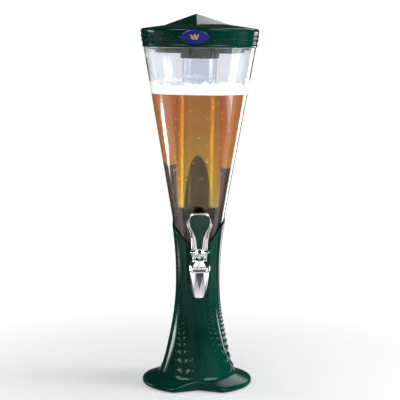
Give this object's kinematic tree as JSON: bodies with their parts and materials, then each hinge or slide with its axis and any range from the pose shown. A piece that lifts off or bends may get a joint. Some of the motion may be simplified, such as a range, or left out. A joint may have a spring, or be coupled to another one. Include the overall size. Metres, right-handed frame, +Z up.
{
  "type": "drinks tower dispenser",
  "caption": "Table-top drinks tower: twisted weighted foot with leaf rim, clear tapered vessel, chrome lever tap in front, lift-off lid carrying a clear ice tube.",
  "frame": {"origin": "on the table under the tower's upright axis", "axes": "+Z up along the axis, the tap faces -Y, +X is to the right of someone facing the tap"},
  "size_m": [0.204, 0.204, 0.646],
  "materials": {
    "green_plastic": "glossy moulded bottle green",
    "dark_plastic": "dark green, satin",
    "screw_steel": "bright",
    "black_rubber": "matte",
    "silicone": "milky, satin",
    "clear_plastic": "clear, polished",
    "clear_tube": "clear, polished",
    "tap_chrome": "bright plated",
    "inlay_green": "glossy dark green under a clear dome",
    "badge_blue": "glossy blue enamel",
    "badge_gold": "polished gold"
  },
  "bodies": {
    "tower": {"base_shell": "green_plastic", "base_plate": "dark_plastic", "base_screws": "screw_steel", "base_feet": "black_rubber", "vessel_cushion": "black_rubber", "vessel": "clear_plastic", "rim_ring": "green_plastic", "shank_gasket_outer": "black_rubber", "shank_gasket_mid": "black_rubber", "shank_gasket_inner": "black_rubber", "tap_shank": "tap_chrome", "shank_nut": "tap_chrome", "tap_body": "tap_chrome", "tap_spout": "tap_chrome", "spout_seal": "black_rubber", "tap_bonnet": "tap_chrome", "bonnet_seal": "black_rubber", "pivot_pin": "tap_chrome", "valve_spring": "screw_steel"},
    "lever": {"tap_lever": "tap_chrome", "lever_inlay_front": "inlay_green", "lever_inlay_back": "inlay_green", "crank_pin": "tap_chrome"},
    "valve": {"valve_stem": "tap_chrome", "valve_cup": "black_rubber"},
    "lid": {"lid": "green_plastic", "lid_seal": "silicone", "lid_badge": "badge_blue", "badge_sprig": "badge_gold", "ice_collar": "dark_plastic", "ice_collar_screw": "screw_steel", "ice_seal": "silicone"},
    "ice_tube": {"ice_tube": "clear_tube"}
  },
  "joints": [
    {"name": "lid_lift", "type": "slide", "parent": "tower", "child": "lid", "axis": [0, 0, 1], "range_m": [0, 0.33]},
    {"name": "ice_tube_release", "type": "slide", "parent": "lid", "child": "ice_tube", "axis": [0, 0, -1], "range_m": [0, 0.02]},
    {"name": "lever_pull", "type": "hinge", "parent": "tower", "child": "lever", "pos_m": [0, -0.076, 0.238], "axis": [1, 0, 0], "range_deg": [0, 38]},
    {"name": "valve_lift", "type": "slide", "parent": "tower", "child": "valve", "axis": [0, 0, 1], "range_m": [0, 0.0037], "stiffness_N_per_m": 600, "springref_m": -0.005, "deforming": ["valve_spring"]}
  ],
  "couplings": [
    {"joint": "valve_lift", "follows": "lever_pull", "m_per_rad": 0.00557}
  ]
}
